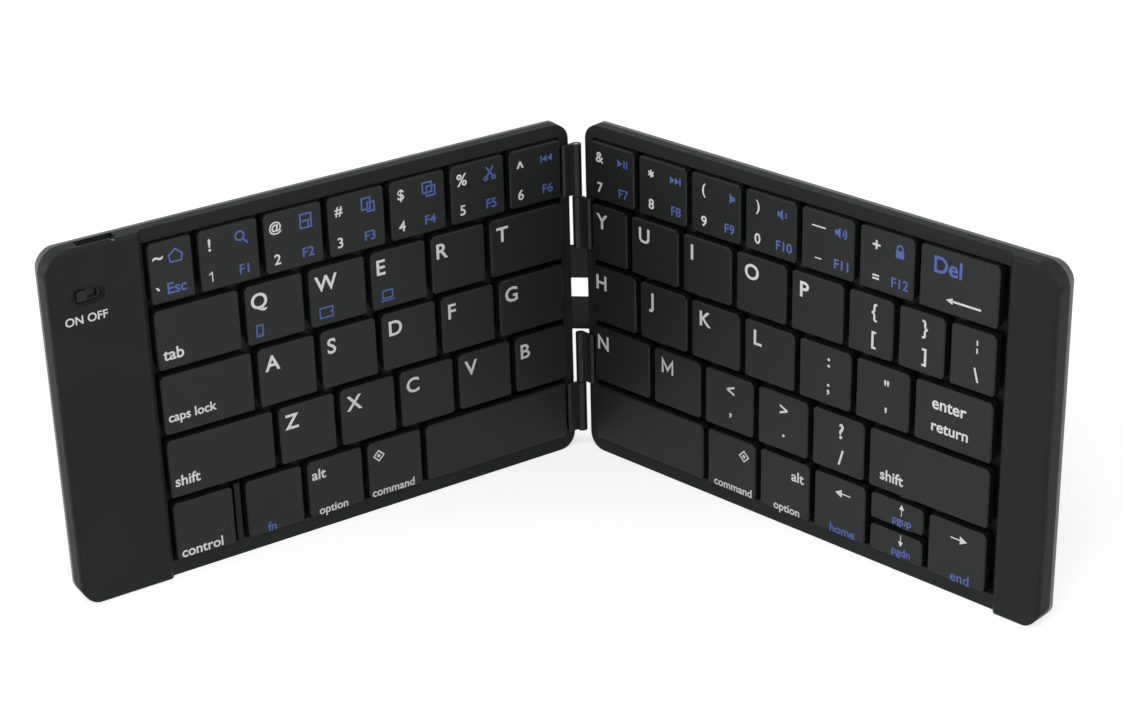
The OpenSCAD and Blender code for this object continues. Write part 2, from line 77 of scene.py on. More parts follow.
RIB_AND_GAPS = 3.6          # between the fn and control keys
SWITCH_U, SWITCH_HEIGHT = OUTER_EDGE - 9.7, 80.1
SOCKET_U = OUTER_EDGE - 13.85

HALF_ANGLE = math.radians(OPENING_ANGLE / 2)
pin_low, pin_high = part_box("lower_hinge_pin")
HINGE = Vector((0, (pin_low[1] + pin_high[1]) / 2, 0))
UP = Vector((0, 0, 1))
# Of each half: the direction away from the hinge, the one out of its key face, and the one it reads in
SIDES = {"left": -1, "right": 1}
OUTWARD = {side: Vector((x * math.sin(HALF_ANGLE), -math.cos(HALF_ANGLE), 0)) for side, x in SIDES.items()}
NORMAL = {side: Vector((-x * math.cos(HALF_ANGLE), -math.sin(HALF_ANGLE), 0)) for side, x in SIDES.items()}
READING = {side: OUTWARD[side] * x for side, x in SIDES.items()}

# Key widths in key pitches, from the hinge outwards, rear row first
ROWS = {
    "left": [
        [0.98, 1, 1, 1, 1, 1, 0.75],
        [1.35, 1, 1, 1, 1, 1.38],
        [1.23, 1, 1, 1, 1, 1.5],
        [0.98, 1, 1, 1, 1, 1.75],
        [2.59, 1, 1, 1, 1.14],
    ],
    "right": [
        [0.94, 1, 1, 1, 1, 1, 1.36],
        [0.78, 1, 1, 1, 1, 0.85, 0.85, 0.82],
        [0.94, 1, 1, 1, 1, 1, 1.36],
        [1.2, 1, 1, 1, 1, 2.1],
        [2.25, 1, 1, 1, 1, 1.05],
    ],
}


def on_half(side, u, height, depth):
    """A point on a half: u is measured outwards from the hinge axis, height from the front edge and depth
    from the plane in which the halves close."""
    return HINGE + (OUTWARD[side] * u + UP * height - NORMAL[side] * depth) * MM


# ---------------------------------------------------------------- camera
# It stands in front of the open V and looks down on it by about 26 degrees. The place is in metres, the
# angles are in radians, and the focal length is in pixels of an image of this width.
CAMERA_FROM_HINGE = Vector((0.05613, -0.61356, 0.32289))
CAMERA_YAW, CAMERA_PITCH, CAMERA_ROLL = -0.0995, 0.4463, -0.0269
IMAGE_WIDTH, FOCAL_LENGTH, SENSOR = 1123, 2604.5, 36.0
CLIP_START = 0.01


def make_camera():
    data = bpy.data.cameras.new("camera")
    data.sensor_width = SENSOR
    data.lens = FOCAL_LENGTH / IMAGE_WIDTH * SENSOR
    data.clip_start = CLIP_START
    camera = bpy.data.objects.new("camera", data)
    bpy.context.scene.collection.objects.link(camera)
    ahead = Vector((math.sin(CAMERA_YAW) * math.cos(CAMERA_PITCH),
                    math.cos(CAMERA_YAW) * math.cos(CAMERA_PITCH),
                    -math.sin(CAMERA_PITCH)))
    level = Vector((math.cos(CAMERA_YAW), -math.sin(CAMERA_YAW), 0))
    above = level.cross(ahead)
    across = level * math.cos(CAMERA_ROLL) + above * math.sin(CAMERA_ROLL)
    upward = above * math.cos(CAMERA_ROLL) - level * math.sin(CAMERA_ROLL)
    turn = Matrix((across, upward, -ahead)).transposed().to_4x4()
    camera.matrix_world = Matrix.Translation(HINGE + CAMERA_FROM_HINGE) @ turn
    bpy.context.scene.camera = camera


# ---------------------------------------------------------------- materials
DRIFT = 28                  # millimetres over which a colour drifts
DRIFT_RANGE = 0.3, 0.7      # the part of the noise that the drift's two shades span


def linear(hex_colour):
    """A colour written as sRGB hex, as linear RGBA."""
    parts = [int(hex_colour[i:i + 2], 16) / 255 for i in (1, 3, 5)]
    return [c / 12.92 if c <= 0.04045 else ((c + 0.055) / 1.055) ** 2.4 for c in parts] + [1.0]


def add(tree, kind, inputs=None, **settings):
    """Adds a node, sets what is named and links each input that is given another node's output."""
    node = tree.nodes.new(kind)
    for name, value in settings.items():
        setattr(node, name, value)
    for name, value in (inputs or {}).items():
        if isinstance(value, bpy.types.NodeSocket):
            tree.links.new(value, node.inputs[name])
        else:
            node.inputs[name].default_value = value
    return node


def empty_tree(owner):
    """The node tree of a material or a world, with nothing in it."""
    owner.use_nodes = True
    owner.node_tree.nodes.clear()
    return owner.node_tree


def surface(name, dark, light, rough, grain, bump, metallic=0.0, level=0.5, coat=0.0):
    """A material whose colour drifts between two shades, with a fine grain in its roughness and height.
    rough is its least and most roughness. grain and bump are the grain's size and depth in millimetres."""
    made = bpy.data.materials.new(name)
    tree = empty_tree(made)
    place = add(tree, "ShaderNodeTexCoord").outputs["Object"]
    drift = add(tree, "ShaderNodeTexNoise", {"Vector": place, "Scale": 1 / (DRIFT * MM), "Detail": 3.0})
    fine = add(tree, "ShaderNodeTexNoise", {"Vector": place, "Scale": 1 / (grain * MM), "Detail": 2.0})
    wide = add(tree, "ShaderNodeMapRange", {
        "Value": drift.outputs["Fac"], "From Min": DRIFT_RANGE[0], "From Max": DRIFT_RANGE[1]})
    colour = add(tree, "ShaderNodeMix", {
        0: wide.outputs["Result"], 6: linear(dark), 7: linear(light)}, data_type="RGBA")
    roughness = add(tree, "ShaderNodeMapRange", {
        "Value": fine.outputs["Fac"], "To Min": rough[0], "To Max": rough[1]})
    relief = add(tree, "ShaderNodeBump", {
        "Height": fine.outputs["Fac"], "Strength": 0.5, "Distance": bump * MM})
    shader = add(tree, "ShaderNodeBsdfPrincipled", {
        "Base Color": colour.outputs[2], "Roughness": roughness.outputs["Result"],
        "Normal": relief.outputs["Normal"], "Metallic": metallic, "Specular IOR Level": level,
        "Coat Weight": coat, "Coat Roughness": 0.2})
    add(tree, "ShaderNodeOutputMaterial", {"Surface": shader.outputs["BSDF"]})
    return made


def make_materials():
    return {
        # Moulded ABS with a spark-eroded skin: a dull charcoal that only glints at a grazing angle
        "case_abs": surface("moulded_abs_case", "#1f2321", "#232724", (0.48, 0.62), 0.45, 0.02, level=0.13),
        # Key caps are ABS too, dyed darker and from a finer tool, so the light lies on them more clearly
        "key_abs": surface("moulded_abs_key", "#121614", "#161a17", (0.4, 0.5), 0.4, 0.012, level=0.28),
        # The switch is ABS with a coarser skin for the finger: dark and flat
        "switch_abs": surface("moulded_abs_switch", "#151616", "#1b1c1c", (0.5, 0.6), 0.4, 0.02, level=0.3),
        # Sprayed satin paint over the back cover: an even grey with a soft sheen on its edges
        "back_paint": surface("satin_paint_cover", "#4c4e4e", "#505252", (0.36, 0.46), 0.5, 0.01),
        # Cold-rolled steel sheet: bare and grey, and dark in the shade between the keys
        "plate_steel": surface("cold_rolled_steel", "#6d7072", "#7b7e80", (0.3, 0.45), 0.3, 0.01,
                               metallic=0.9),
        # Polyester film with a black carbon print: smooth and almost black
        "film": surface("carbon_printed_film", "#0b0d0c", "#101211", (0.4, 0.55), 0.5, 0.005, level=0.25),
        # Milky silicone rubber, soft and slightly waxy
        "silicone": surface("silicone_rubber", "#9fa5a6", "#b4b9ba", (0.5, 0.62), 0.6, 0.02),
        # Steel with a black electro-coat: dark, with a faint sheen along the rolled knuckles
        "hinge_coat": surface("black_coated_steel", "#111312", "#161817", (0.36, 0.48), 0.35, 0.008,
                              level=0.3),
        # Ground steel: bright, with sharp small glints
        "pin_steel": surface("ground_steel", "#8b8e90", "#9b9ea0", (0.2, 0.32), 0.2, 0.003, metallic=1.0),
        # Moulded rubber: black, with next to no shine
        "foot_rubber": surface("moulded_rubber", "#121312", "#181918", (0.65, 0.8), 0.5, 0.03, level=0.3),
        # Laminated aluminium foil of a pouch cell: bright, with a coarse crinkle
        "foil": surface("pouch_foil", "#9a9da0", "#acafb2", (0.28, 0.4), 1.2, 0.06, metallic=0.8),
        # Solder mask over glass-fibre laminate: a deep green under a thin gloss
        "board": surface("solder_mask", "#124527", "#1a5632", (0.3, 0.42), 0.6, 0.02, coat=0.4),
        # Nickel plating over steel: a clean, bright grey
        "socket_steel": surface("nickel_plated_steel", "#a5a8aa", "#b5b8ba", (0.18, 0.3), 0.25, 0.004,
                                metallic=1.0),
        # Gold plating: small warm glints inside the socket
        "contact_gold": surface("gold_plated_contact", "#c79a3e", "#d3a84c", (0.2, 0.3), 0.25, 0.003,
                                metallic=1.0),
        # Polycarbonate light guide, frosted at its end, so it looks milky
        "lens": surface("frosted_polycarbonate", "#8b918f", "#9a9f9d", (0.3, 0.4), 0.3, 0.01),
        # Polyurethane sleeve over the flat cable: a soft black that hardly shines
        "sleeve": surface("polyurethane_sleeve", "#111312", "#171918", (0.45, 0.6), 0.5, 0.02, level=0.2),
        # Pad-printed inks: a flat film, a touch rough, in an off-white and a pale violet blue
        "white_ink": surface("pad_print_white", "#e4e6e5", "#efefef", (0.5, 0.6), 0.25, 0.004),
        "blue_ink": surface("pad_print_blue", "#4a61aa", "#566eb8", (0.5, 0.6), 0.25, 0.004),
    }


# ---------------------------------------------------------------- making pieces
BODY_OF = {node: body for body, nodes in frame["record"]["behaviour"]["bodies"].items() for node in nodes}
WELD = 0.002                # millimetres within which a CAD node's points are merged
FLAT = 0.6                  # degrees below which two faces become one
CREASE = 30                 # degrees from which an edge stays sharp in the shading
CORNER = 40                 # degrees from which an edge is softened


def new_piece(name, mesh, material):
    piece = bpy.data.objects.new(name, mesh)
    bpy.context.scene.collection.objects.link(piece)
    mesh.materials.clear()
    mesh.materials.append(material)
    return piece


def new_mesh(name, form):
    """A mesh of what was built in a bmesh, which is freed."""
    mesh = bpy.data.meshes.new(name)
    form.to_mesh(mesh)
    form.free()
    return mesh


def shade_smooth(mesh):
    for face in mesh.polygons:
        face.use_smooth = True


def dress(node, material, bevel):
    """Puts a copy of a CAD node with merged faces in its place. bevel is the millimetres by which its edges
    are softened."""
    mesh = frame["nodes"][node].data.copy()
    form = bmesh.new()
    form.from_mesh(mesh)
    bmesh.ops.remove_doubles(form, verts=form.verts, dist=WELD * MM)
    bmesh.ops.dissolve_limit(form, angle_limit=math.radians(FLAT), verts=form.verts, edges=form.edges)
    form.to_mesh(mesh)
    form.free()
    piece = new_piece(node + "_finished", mesh, material)
    shade_smooth(mesh)
    mesh.set_sharp_from_angle(angle=math.radians(CREASE))
    edge = piece.modifiers.new("softened_edges", "BEVEL")
    edge.width = bevel * MM
    edge.segments = 2
    edge.limit_method = "ANGLE"
    edge.angle_limit = math.radians(CORNER)
    edge.harden_normals = True
    flat = piece.modifiers.new("flat_faces", "WEIGHTED_NORMAL")
    flat.weight = 100
    flat.keep_sharp = True
    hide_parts(node)
    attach(piece, BODY_OF[node])


def keep(node, material):
    """Gives a CAD node that stays as it is its material."""
    mesh = frame["nodes"][node].data
    mesh.materials.clear()
    mesh.materials.append(material)


# ---------------------------------------------------------------- keys and their legends
INK = 0.03                  # thickness of the printed ink
INK_WELD = 0.001            # distance within which the points of a print are merged
Key = namedtuple("Key", "side node x0 x1 y0 y1")
Mark = namedtuple("Mark", "shape x y size ink anchor")

# Lines of print, from the cap's upper edge down to their middle, and heights of capitals and icons
LETTER_LINE, LETTER_HEIGHT = 4.2, 3.85
NUMBER_LINES, DIGIT_HEIGHT, LABEL_HEIGHT, ICON_HEIGHT = (3.9, 12.0), 2.55, 2.35, 3.9
PAIR_LINES = 4.1, 11.2
SMALL_LINE = 14.1
DEVICE_LINE, DEVICE_HEIGHT = 12.0, 3.2


def white(shape, x, y, size, anchor="middle"):
    return Mark(shape, x, y, size, "white_ink", anchor)


def blue(shape, x, y, size, anchor="middle"):
    return Mark(shape, x, y, size, "blue_ink", anchor)


def letter(glyph, x):
    return [white(glyph, x, LETTER_LINE, LETTER_HEIGHT, "left")]


def device(icon, x):
    return [blue(icon, x, DEVICE_LINE, DEVICE_HEIGHT)]


def number(upper, lower, icon, label, x, icon_x, height=3.0):
    """A key of the number row: its two characters, and its second function in blue."""
    digit = "icon_one" if lower == "1" else lower
    top, bottom = NUMBER_LINES
    return [white(upper, x, top, height), white(digit, x, bottom, DIGIT_HEIGHT),
            blue(icon, icon_x, top, ICON_HEIGHT), blue(label, icon_x + 0.2, bottom, LABEL_HEIGHT)]


def pair(upper, lower, x, height=3.3):
    return [white(upper, x, PAIR_LINES[0], height), white(lower, x, PAIR_LINES[1], height)]


def word(text, y, x=1.4, height=2.9):
    return [white(text, x, y, height, "left")]


def small(text, x, ink=white, height=2.15):
    return [ink(text, x, SMALL_LINE, height)]


def group(node, *keys):
    """The marks of several keys that share a node."""
    return [(node, marks) for marks in keys]


# Per row, from the hinge outwards: the key's node and its marks. x and y are measured in millimetres
# from the key's upper left corner, as the typist sees it.
LEGENDS = {
    "left": [
        group("keys_1_to_6",
              number("^", "6", "icon_previous", "F6", 3.1, 10.9),
              number("%", "5", "icon_cut", "F5", 3.2, 11.3),
              number("$", "4", "icon_copy", "F4", 3.0, 10.8, 2.6),
              number("#", "3", "icon_paste", "F3", 2.9, 10.9, 2.4),
              number("@", "2", "icon_select", "F2", 3.0, 11.1, 2.3),
              number("!", "1", "icon_search", "F1", 2.8, 11.1))
        + [("key_escape", [white("~", 2.4, 3.9, 1.0), white("`", 1.7, 11.6, 0.9),
                           blue("icon_home", 6.9, 4.1, 3.6), blue("Esc", 6.6, 12.0, 2.7)])],
        group("keys_q_to_t",
              letter("T", 1.8),
              letter("R", 1.4),
              letter("E", 1.5) + device("icon_laptop", 4.2),
              letter("W", 1.5) + device("icon_tablet", 4.2),
              letter("Q", 1.4) + device("icon_phone", 3.2))
        + [("key_tab", word("tab", 11.5))],
        [("key_g", letter("G", 1.7)),
         ("key_f", letter("F", 1.9)),
         ("key_d", letter("D", 1.9)),
         ("key_s", letter("S", 1.7)),
         ("key_a", letter("A", 1.7)),
         ("key_caps_lock", word("caps lock", 10.9, 1.2, 2.3))],
        group("keys_z_to_b",
              letter("B", 1.4), letter("V", 1.7), letter("C", 1.7), letter("X", 1.6), letter("Z", 1.5))
        + [("key_left_shift", word("shift", 11.1, 1.3, 2.7))],
        [("key_left_space", []),
         ("key_left_command", [white("icon_diamond", 3.1, 3.9, 3.4)] + small("command", 6.8)),
         ("key_left_alt", word("alt", 3.8, 1.1, 2.7) + small("option", 6.6)),
         ("key_fn", small("fn", 6.3, blue, 2.3)),
         ("key_control", word("control", 13.6, 1.2, 2.6))],
    ],
    "right": [
        group("keys_7_to_equals",
              number("&", "7", "icon_play", "F7", 3.0, 10.7, 2.7),
              number("*", "8", "icon_next", "F8", 4.1, 12.0),
              number("(", "9", "icon_mute", "F9", 4.1, 12.0, 2.6),
              number(")", "0", "icon_quieter", "F10", 3.8, 11.7, 2.6),
              number("icon_long_dash", "icon_dash", "icon_louder", "F11", 5.1, 11.7),
              number("+", "=", "icon_lock", "F12", 4.8, 11.5))
        + [("key_delete", [blue("Del", 3.9, 4.0, 3.9, "left"), white("icon_long_arrow", 12.4, 12.0, 4.7)])],
        group("keys_y_to_bracket",
              letter("Y", 1.5), letter("U", 2.6), letter("I", 2.6), letter("O", 2.7), letter("P", 2.6),
              pair("{", "[", 7.5), pair("}", "]", 7.4))
        + [("key_backslash", [white("icon_broken_bar", 7.3, 4.1, 3.6), white("\\", 7.3, 11.2, 3.3)])],
        [("key_h", letter("H", 1.1)),
         ("key_j", letter("J", 3.0)),
         ("key_k", letter("K", 2.7)),
         ("key_l", letter("L", 2.9)),
         ("key_semicolon", pair(":", ";", 8.9)),
         ("key_quote", pair("\"", "'", 8.9)),
         ("key_enter", word("enter", 4.6, 4.9, 3.0) + word("return", 10.5, 4.9, 2.8))],
        group("keys_n_to_slash",
              letter("N", 1.2), [white("icon_m", 4.6, LETTER_LINE, LETTER_HEIGHT)],
              pair("<", ",", 8.3), pair(">", ".", 8.1), pair("?", "/", 8.7, 3.8))
        + [("key_right_shift", word("shift", 11.3, 3.4, 2.75))],
        [("key_right_space", []),
         ("key_right_command", [white("icon_diamond", 11.9, 4.2, 3.4)] + small("command", 8.3)),
         ("key_right_alt", [white("alt", 11.9, 4.2, 2.7)] + small("option", 8.5)),
         ("key_arrow_left", [white("icon_arrow", 8.6, 3.9, 2.9)] + small("home", 8.8, blue, 2.3)),
         ("key_arrow_up", [white("icon_arrow_up", 9.2, 2.0, 2.0), blue("pgup", 9.4, 4.9, 2.0)]),
         ("key_arrow_right", [white("icon_arrow_right", 8.9, 3.9, 2.9)] + small("end", 9.4, blue, 2.6))],
    ],
}
# The down arrow lies below the up arrow, in the same place of its row
LOWER_ARROW = ("key_arrow_down", [white("icon_arrow_down", 9.2, 2.0, 2.0), blue("pgdn", 9.4, 4.9, 2.0)])
# Measured from the middle of the switch
SWITCH_LABEL = white("ON OFF", -0.8, 5.6, 2.0)


def arc(x, y, radius, start, end, steps=14):
    """Points on a round stretch, with its angles in degrees."""
    angles = [math.radians(start + (end - start) * i / steps) for i in range(steps + 1)]
    return [(x + radius * math.cos(a), y + radius * math.sin(a)) for a in angles]


def ring(x, y, radius, steps=14):
    return ("loop", arc(x, y, radius, 0, 360, steps)[:-1])


def frame_line(x0, y0, x1, y1):
    return ("loop", [(x0, y0), (x1, y0), (x1, y1), (x0, y1)])


def turned(strokes, degrees):
    """The same strokes, turned anticlockwise about the icon's middle."""
    c, s = math.cos(math.radians(degrees)), math.sin(math.radians(degrees))
    return [(kind, [(c * x - s * y, s * x + c * y) for x, y in points]) for kind, points in strokes]


# Width of each kind of line, as a share of half the icon's size
STROKES = {"line": 0.22, "loop": 0.22, "stem": 0.34}
MITRE_LIMIT = 0.4           # keeps the corner of a sharp bend from running far out
SPEAKER = ("fill", [(-0.95, -0.3), (-0.55, -0.3), (-0.1, -0.75), (-0.1, 0.75), (-0.55, 0.3), (-0.95, 0.3)])
NEAR_SOUND = ("line", arc(-0.1, 0, 0.5, -45, 45, 6))
FAR_SOUND = ("line", arc(-0.1, 0, 0.9, -45, 45, 8))
ARROW = [("line", [(-0.1, 0), (1.7, 0)]), ("fill", [(-1.5, 0), (-0.1, 0.75), (-0.1, -0.75)])]

# Each icon lies about in a square from -1 to 1. A line is open, a loop is closed, a stem is a bold line and
# a fill is solid.
ICONS = {
    "icon_home": [("loop", [(-0.75, -0.85), (0.75, -0.85), (0.95, 0.1), (0, 0.9), (-0.95, 0.1)])],
    "icon_search": [ring(-0.2, 0.25, 0.58), ("line", [(0.22, -0.2), (0.85, -0.9)])],
    "icon_select": [frame_line(-0.75, -0.9, 0.75, 0.9), ("line", [(-0.75, 0), (0.75, 0)]),
                    ("line", [(0.3, 0), (0.3, -0.9)])],
    "icon_paste": [frame_line(-0.85, -0.6, 0.35, 0.9), frame_line(-0.05, -0.95, 0.9, 0.25)],
    "icon_copy": [frame_line(-0.85, -0.45, 0.45, 0.9), frame_line(-0.3, -0.95, 0.9, 0.35)],
    "icon_cut": [("line", [(-0.55, 0.9), (0.45, -0.45)]), ("line", [(0.55, 0.9), (-0.45, -0.45)]),
                 ring(-0.6, -0.68, 0.24, 10), ring(0.6, -0.68, 0.24, 10)],
    "icon_previous": [("fill", [(-0.65, 0), (0.05, 0.5), (0.05, -0.5)]),
                      ("fill", [(0.1, 0), (0.85, 0.5), (0.85, -0.5)]),
                      ("line", [(-0.8, 0.5), (-0.8, -0.5)])],
    "icon_next": [("fill", [(-0.85, 0.5), (-0.85, -0.5), (-0.1, 0)]),
                  ("fill", [(-0.05, 0.5), (-0.05, -0.5), (0.65, 0)]),
                  ("line", [(0.8, 0.5), (0.8, -0.5)])],
    "icon_play": [("fill", [(-0.85, 0.5), (-0.85, -0.5), (0.0, 0)]),
                  ("line", [(0.3, 0.5), (0.3, -0.5)]),
                  ("line", [(0.75, 0.5), (0.75, -0.5)])],
    "icon_mute": [("fill", [(-x, y) for x, y in SPEAKER[1]])],
    "icon_quieter": [SPEAKER, NEAR_SOUND],
    "icon_louder": [SPEAKER, NEAR_SOUND, FAR_SOUND],
    "icon_lock": [("fill", [(-0.6, -0.85), (0.6, -0.85), (0.6, 0.1), (-0.6, 0.1)]),
                  ("line", [(-0.38, 0.1)] + arc(0, 0.4, 0.38, 180, 0, 8) + [(0.38, 0.1)])],
    "icon_phone": [frame_line(-0.5, -0.9, 0.5, 0.9), ("line", [(-0.2, -0.6), (0.2, -0.6)])],
    "icon_tablet": [frame_line(-1.1, -0.8, 1.1, 0.8), ("line", [(0.8, -0.2), (0.8, 0.2)])],
    "icon_laptop": [frame_line(-0.85, -0.4, 0.85, 0.85), ("line", [(-1.2, -0.8), (1.2, -0.8)])],
    "icon_diamond": [("loop", [(0, 0.85), (0.85, 0), (0, -0.85), (-0.85, 0)]),
                     ("fill", [(0, 0.35), (0.35, 0), (0, -0.35), (-0.35, 0)])],
    "icon_m": [("stem", [(-0.85, -1), (-0.85, 0.9), (0, -0.45), (0.85, 0.9), (0.85, -1)])],
    "icon_one": [("line", [(-0.55, 0.5), (0.1, 0.9), (0.1, -0.95)])],
    "icon_broken_bar": [("line", [(0, 0.9), (0, 0.2)]), ("line", [(0, -0.2), (0, -0.9)])],
    "icon_dash": [("line", [(-0.75, 0), (0.75, 0)])],
    "icon_long_dash": [("line", [(-1.35, 0), (1.35, 0)])],
    "icon_long_arrow": [("line", [(-1.4, 0), (2.0, 0)]),
                        ("fill", [(-2.1, 0), (-1.3, 0.34), (-1.3, -0.34)])],
    "icon_arrow": ARROW,
    "icon_arrow_down": turned(ARROW, 90),
    "icon_arrow_right": turned(ARROW, 180),
    "icon_arrow_up": turned(ARROW, 270),
}


def stroke_corners(points, closed, width):
    """The left and right corner of a flat line at each of its points, mitred."""
    count = len(points)
    corners = []
    for i, (x, y) in enumerate(points):
        before = points[i - 1] if (i or closed) else None
        after = points[(i + 1) % count] if (i + 1 < count or closed) else None
        runs = [Vector((x - before[0], y - before[1])).normalized()] if before else []
        runs += [Vector((after[0] - x, after[1] - y)).normalized()] if after else []
        along = sum(runs, Vector((0, 0))).normalized()
        across = Vector((-along.y, along.x))
        reach = width / 2 / max(MITRE_LIMIT, along.dot(runs[0]))
        corners.append((Vector((x, y)) + across * reach, Vector((x, y)) - across * reach))
    return corners


def icon_faces(name, size):
    """The flat faces of an icon, as lists of points about its centre."""
    scale = size / 2
    faces = []
    for kind, points in ICONS[name]:
        if kind == "fill":
            faces.append([Vector(p) * scale for p in points])
            continue
        corners = stroke_corners(points, kind == "loop", STROKES[kind])
        steps = len(corners) if kind == "loop" else len(corners) - 1
        for i in range(steps):
            (a, b), (d, c) = corners[i], corners[(i + 1) % len(corners)]
            faces.append([p * scale for p in (b, c, d, a)])
    return faces


BOLD = 0.018                # how much the type's strokes are widened, as a share of its size
CURVE_STEPS = 6             # of each curve in a letter's outline


def type_outline(text, bold):
    """Type as a flat mesh's points and faces, at a size of 1."""
    curve = bpy.data.curves.new("type", "FONT")
    curve.body = text
    curve.offset = bold
    curve.resolution_u = CURVE_STEPS
    holder = bpy.data.objects.new("type", curve)
    bpy.context.scene.collection.objects.link(holder)
    bpy.context.view_layer.update()
    mesh = bpy.data.meshes.new_from_object(holder.evaluated_get(bpy.context.evaluated_depsgraph_get()))
    points = [v.co.xy for v in mesh.vertices]
    faces = [list(f.vertices) for f in mesh.polygons]
    bpy.data.objects.remove(holder)
    bpy.data.curves.remove(curve)
    bpy.data.meshes.remove(mesh)
    return points, faces


def capital_height():
    points, _ = type_outline("H", 0.0)
    return max(p.y for p in points) - min(p.y for p in points)


CAPITAL = capital_height()


def type_faces(text, height, anchor):
    """The flat faces of a text whose capitals are this high, about its anchor. ~ and ` are this high
    themselves."""
    points, faces = type_outline(text, BOLD)
    scale = height / CAPITAL
    low = Vector((min(p.x for p in points), min(p.y for p in points)))
    high = Vector((max(p.x for p in points), max(p.y for p in points)))
    across = low.x if anchor == "left" else (low.x + high.x) / 2
    level = CAPITAL / 2 if text[0].isalnum() else (low.y + high.y) / 2
    if text in "~`":
        scale = height / (high.y - low.y)
    origin = Vector((across, level))
    return [[(points[i] - origin) * scale for i in face] for face in faces]


def every_key():
    """Each key's place on its half, with its marks."""
    for side, rows in ROWS.items():
        for row, widths in enumerate(rows):
            y0 = FIRST_ROW + (LAST_ROW - row) * ROW_PITCH
            start = KEYS_START
            for (node, marks), width in zip(LEGENDS[side][row], widths):
                x0, x1 = start, start + width * KEY_PITCH - KEY_GAP
                start += width * KEY_PITCH
                if node == "key_control":
                    x0 += RIB_AND_GAPS - KEY_GAP
                if node == "key_arrow_up":
                    yield Key(side, node, x0, x1, y0 + HALF_CAP + KEY_GAP, y0 + CAP_HEIGHT), marks
                    yield Key(side, LOWER_ARROW[0], x0, x1, y0, y0 + HALF_CAP), LOWER_ARROW[1]
                else:
                    yield Key(side, node, x0, x1, y0, y0 + CAP_HEIGHT), marks


def mark_faces(mark):
    if mark.shape in ICONS:
        return icon_faces(mark.shape, mark.size)
    return type_faces(mark.shape, mark.size, mark.anchor)


def print_marks(materials):
    """Prints every legend, as one thin film for each body and ink."""
    prints = defaultdict(list)
    for key, marks in every_key():
        left_edge = key.x1 if key.side == "left" else key.x0
        corner = on_half(key.side, left_edge, key.y1, KEY_DEPTH)
        for mark in marks:
            prints[key.node, mark.ink].append((key.side, corner, mark))
    switch = on_half("left", SWITCH_U, SWITCH_HEIGHT, BAND_DEPTH)
    prints["left_frame", SWITCH_LABEL.ink].append(("left", switch, SWITCH_LABEL))
    for (node, ink), items in prints.items():
        form = bmesh.new()
        for side, corner, mark in items:
            for face in mark_faces(mark):
                places = [READING[side] * (mark.x + p.x) + UP * (p.y - mark.y) for p in face]
                form.faces.new([form.verts.new(corner + place * MM) for place in places])
        bmesh.ops.remove_doubles(form, verts=form.verts, dist=INK_WELD * MM)
        out = NORMAL[items[0][0]]
        for face in form.faces:
            face.normal_update()
            if face.normal.dot(out) < 0:
                face.normal_flip()
        name = node + "_" + ink
        piece = new_piece(name, new_mesh(name, form), materials[ink])
        film = piece.modifiers.new("film", "SOLIDIFY")
        film.thickness = INK * MM
        film.offset = 1
        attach(piece, BODY_OF[node])


# ---------------------------------------------------------------- rubber domes
MEMBRANE_DEPTH = 4.7
# A dome's section from its flange to the dimple in its top: radius and height above the membrane
DOME = [(3.2, 0), (3.0, 0.3), (2.6, 0.45), (2.3, 1.0), (1.85, 2.1), (1.65, 2.55), (1.4, 2.75), (0.9, 2.75),
        (0.7, 2.6)]
DOME_SIDES = 24


def add_dome(form, side, u, height):
    """Turns the dome's section round its axis, and closes its foot and its dimple."""
    rings = []
    for radius, rise in DOME:
        rings.append([form.verts.new(on_half(side, u + x, height + y, MEMBRANE_DEPTH - rise))
                      for x, y in arc(0, 0, radius, 0, 360, DOME_SIDES)[:-1]])
    for lower, upper in zip(rings, rings[1:]):
        for i in range(DOME_SIDES):
            j = (i + 1) % DOME_SIDES
            form.faces.new((lower[i], lower[j], upper[j], upper[i]))
    form.faces.new(rings[0])
    form.faces.new(rings[-1])


def make_domes(material):
    """One mesh of domes under each key body."""
    domes = defaultdict(list)
    for key, _ in every_key():
        domes[key.side, key.node].append(((key.x0 + key.x1) / 2, (key.y0 + key.y1) / 2))
    for (side, node), places in domes.items():
        form = bmesh.new()
        for u, height in places:
            add_dome(form, side, u, height)
        bmesh.ops.recalc_face_normals(form, faces=form.faces)
        mesh = new_mesh(node + "_domes", form)
        for face in mesh.polygons:
            face.use_smooth = len(face.vertices) == 4
        piece = new_piece(node + "_domes", mesh, material)
        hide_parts(side + "_domes")
        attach(piece, side + "_half")
        anchor = on_half(side, *places[0], MEMBRANE_DEPTH)
        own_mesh(piece)


# ---------------------------------------------------------------- cable sleeves
SLEEVE_WIDTH, SLEEVE_THICK, SLEEVE_DEPTH, SLEEVE_END = 9.2, 0.9, 2.5, 3.75
SLEEVES = {"upper_strap": 48.7, "lower_strap": 34.1}    # height of each sleeve's lower edge
SLEEVE_ROUNDING = 0.42      # radius of its edges, as a share of its thickness
SLEEVE_CREASE = 60          # degrees from which an edge stays sharp, so that only its cut ends do
ROUNDING_STEPS, BEND_STEPS = 4, 6
HELD = 1                    # length inside each end of the sleeve, at which a point on its half is found
HINGE_EDGE = 1.15           # from the hinge axis to the case
BEND_REACH = 0.8            # how far from its corner beside the case the sleeve starts to bend


